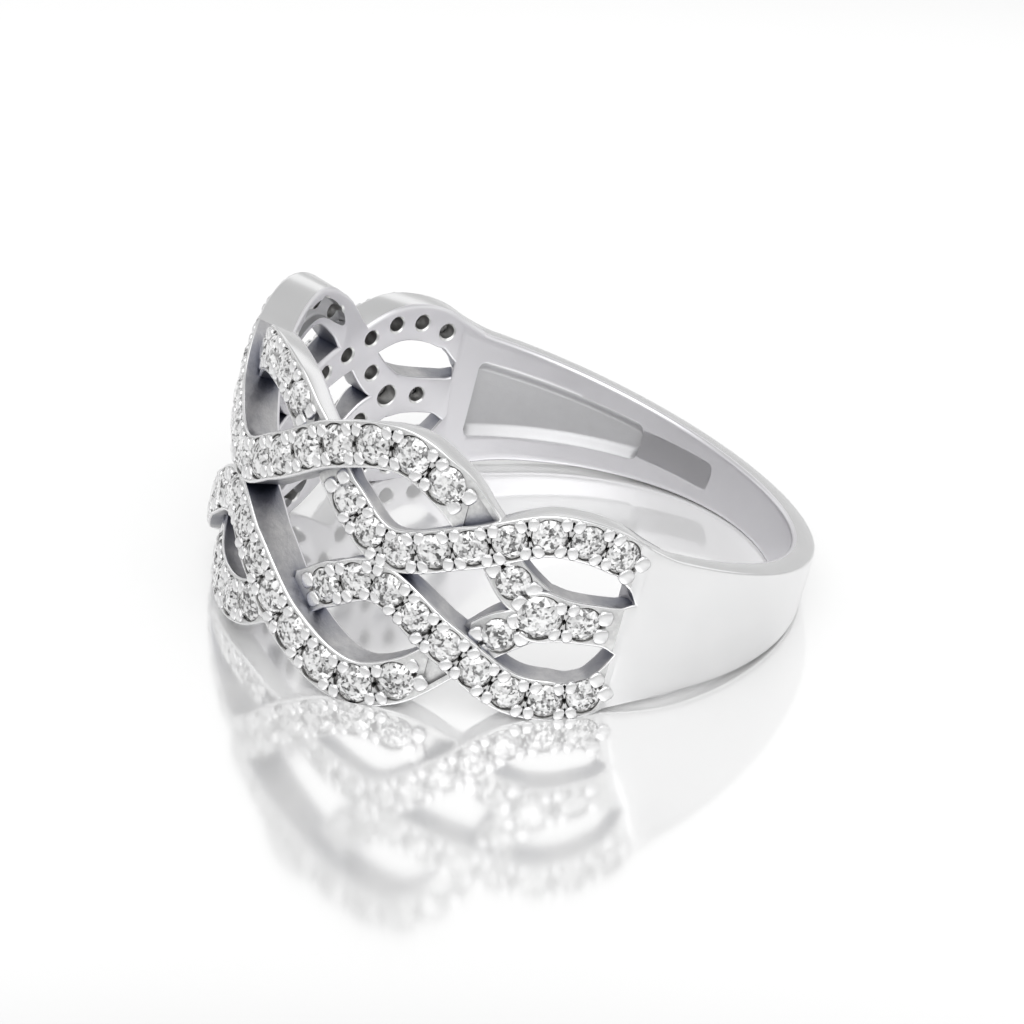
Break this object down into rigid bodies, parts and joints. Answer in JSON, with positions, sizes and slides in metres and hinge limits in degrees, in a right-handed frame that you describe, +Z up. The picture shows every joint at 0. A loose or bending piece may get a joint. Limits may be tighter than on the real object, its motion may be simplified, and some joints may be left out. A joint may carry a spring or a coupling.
{
  "type": "open wave ring with round stones",
  "caption": "Finger ring with an open braid of stone-set waves on a plain tapered band, lying on its side.",
  "frame": {"origin": "bottom centre of the ring's box, on the surface that it lies on", "axes": "+Z up from the surface, -Y towards the middle of the stone-set head, +X towards one shoulder; the finger hole's axis leans 12.5 degrees from +Z towards +Y"},
  "size_m": [0.0192, 0.0204, 0.0098],
  "materials": {
    "white_gold": "polished",
    "stone": "polished"
  },
  "bodies": {
    "root": {"band": "white_gold", "stones": "stone", "junction_stone_right": "stone", "junction_stone_left": "stone"}
  },
  "joints": []
}
